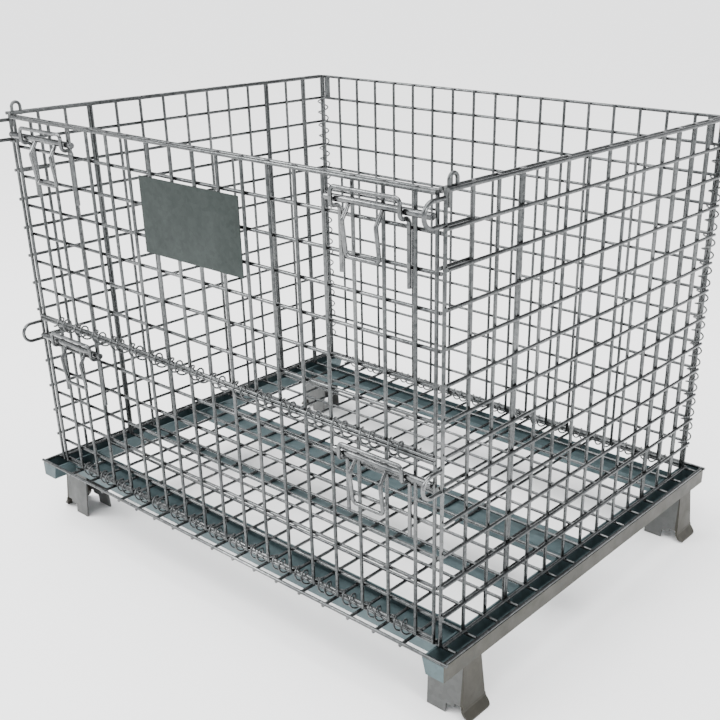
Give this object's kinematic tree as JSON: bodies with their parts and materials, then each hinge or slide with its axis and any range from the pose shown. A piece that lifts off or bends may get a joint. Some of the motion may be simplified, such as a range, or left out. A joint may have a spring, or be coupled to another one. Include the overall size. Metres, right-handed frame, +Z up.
{
  "type": "wire mesh container",
  "caption": "Folding welded wire mesh stacking container on four feet, with a half drop gate, sliding bolt latches and spiral wire hinges.",
  "frame": {"origin": "centre of the footprint at floor level, under the feet", "axes": "+X to the right along the long front, +Y to the back, +Z up"},
  "size_m": [1.0298, 0.814, 0.7905],
  "materials": {
    "zinc_wire": "bright zinc plated",
    "channel_steel": "galvanised, greenish grey",
    "foot_steel": "galvanised, warm grey",
    "plate_steel": "satin zinc, blank"
  },
  "bodies": {
    "base": {"base_channel_left": "channel_steel", "base_channel_right": "channel_steel", "base_channel_front": "channel_steel", "base_channel_middle": "channel_steel", "base_channel_back": "channel_steel", "base_strip": "channel_steel", "deck_long_wires": "zinc_wire", "deck_short_wires": "zinc_wire", "deck_edge_wires": "zinc_wire", "foot_front_left": "foot_steel", "foot_front_right": "foot_steel", "foot_back_left": "foot_steel", "foot_back_right": "foot_steel", "back_uprights": "zinc_wire", "back_rails": "zinc_wire", "spiral_tags": "zinc_wire", "spiral_front_bottom": "zinc_wire", "spiral_back_bottom": "zinc_wire", "spiral_back_left": "zinc_wire", "spiral_back_right": "zinc_wire"},
    "lower_front": {"lower_uprights": "zinc_wire", "lower_rails": "zinc_wire", "spiral_gate": "zinc_wire", "lower_staple_left": "zinc_wire", "lower_staple_right": "zinc_wire"},
    "drop_gate": {"gate_uprights": "zinc_wire", "gate_rails": "zinc_wire", "gate_top_rail": "zinc_wire", "name_plate": "plate_steel", "gate_staple_left": "zinc_wire", "gate_staple_right": "zinc_wire"},
    "left_side": {"left_uprights": "zinc_wire", "left_stiffeners": "zinc_wire", "left_rails": "zinc_wire", "left_top_rails": "zinc_wire", "left_braces": "zinc_wire", "left_keeper_upper": "zinc_wire", "left_keeper_lower": "zinc_wire", "left_eye": "zinc_wire"},
    "right_side": {"right_uprights": "zinc_wire", "right_stiffeners": "zinc_wire", "right_rails": "zinc_wire", "right_top_rails": "zinc_wire", "right_braces": "zinc_wire", "right_keeper_upper": "zinc_wire", "right_keeper_lower": "zinc_wire", "right_eye": "zinc_wire"},
    "gate_bolt_left": {"gate_bolt_left": "zinc_wire"},
    "gate_handle_left": {"gate_handle_left": "zinc_wire"},
    "gate_bolt_right": {"gate_bolt_right": "zinc_wire"},
    "gate_handle_right": {"gate_handle_right": "zinc_wire"},
    "lower_bolt_left": {"lower_bolt_left": "zinc_wire"},
    "lower_handle_left": {"lower_handle_left": "zinc_wire"},
    "lower_bolt_right": {"lower_bolt_right": "zinc_wire"},
    "lower_handle_right": {"lower_handle_right": "zinc_wire"}
  },
  "joints": [
    {"name": "front_fold", "type": "hinge", "parent": "base", "child": "lower_front", "pos_m": [0, -0.35845, 0.1258], "axis": [-1, 0, 0], "range_deg": [0, 90]},
    {"name": "gate_drop", "type": "hinge", "parent": "lower_front", "child": "drop_gate", "pos_m": [0, -0.36955, 0.4198], "axis": [1, 0, 0], "range_deg": [0, 146]},
    {"name": "left_side_swing", "type": "hinge", "parent": "base", "child": "left_side", "pos_m": [-0.47, 0.378, 0.465], "axis": [0, 0, -1], "range_deg": [0, 95]},
    {"name": "right_side_swing", "type": "hinge", "parent": "base", "child": "right_side", "pos_m": [0.47, 0.378, 0.465], "axis": [0, 0, 1], "range_deg": [0, 95]},
    {"name": "gate_bolt_left_slide", "type": "slide", "parent": "drop_gate", "child": "gate_bolt_left", "axis": [-1, 0, 0], "range_m": [-0.019, 0.021]},
    {"name": "gate_handle_left_turn", "type": "hinge", "parent": "gate_bolt_left", "child": "gate_handle_left", "pos_m": [-0.3524, -0.3725, 0.7388], "axis": [-1, 0, 0], "range_deg": [-10, 90]},
    {"name": "gate_bolt_right_slide", "type": "slide", "parent": "drop_gate", "child": "gate_bolt_right", "axis": [1, 0, 0], "range_m": [-0.019, 0.021]},
    {"name": "gate_handle_right_turn", "type": "hinge", "parent": "gate_bolt_right", "child": "gate_handle_right", "pos_m": [0.3524, -0.3725, 0.7388], "axis": [-1, 0, 0], "range_deg": [-10, 90]},
    {"name": "lower_bolt_left_slide", "type": "slide", "parent": "lower_front", "child": "lower_bolt_left", "axis": [-1, 0, 0], "range_m": [-0.019, 0.021]},
    {"name": "lower_handle_left_turn", "type": "hinge", "parent": "lower_bolt_left", "child": "lower_handle_left", "pos_m": [-0.3524, -0.3725, 0.3828], "axis": [-1, 0, 0], "range_deg": [-10, 90]},
    {"name": "lower_bolt_right_slide", "type": "slide", "parent": "lower_front", "child": "lower_bolt_right", "axis": [1, 0, 0], "range_m": [-0.019, 0.021]},
    {"name": "lower_handle_right_turn", "type": "hinge", "parent": "lower_bolt_right", "child": "lower_handle_right", "pos_m": [0.3524, -0.3725, 0.3828], "axis": [-1, 0, 0], "range_deg": [-10, 90]}
  ]
}
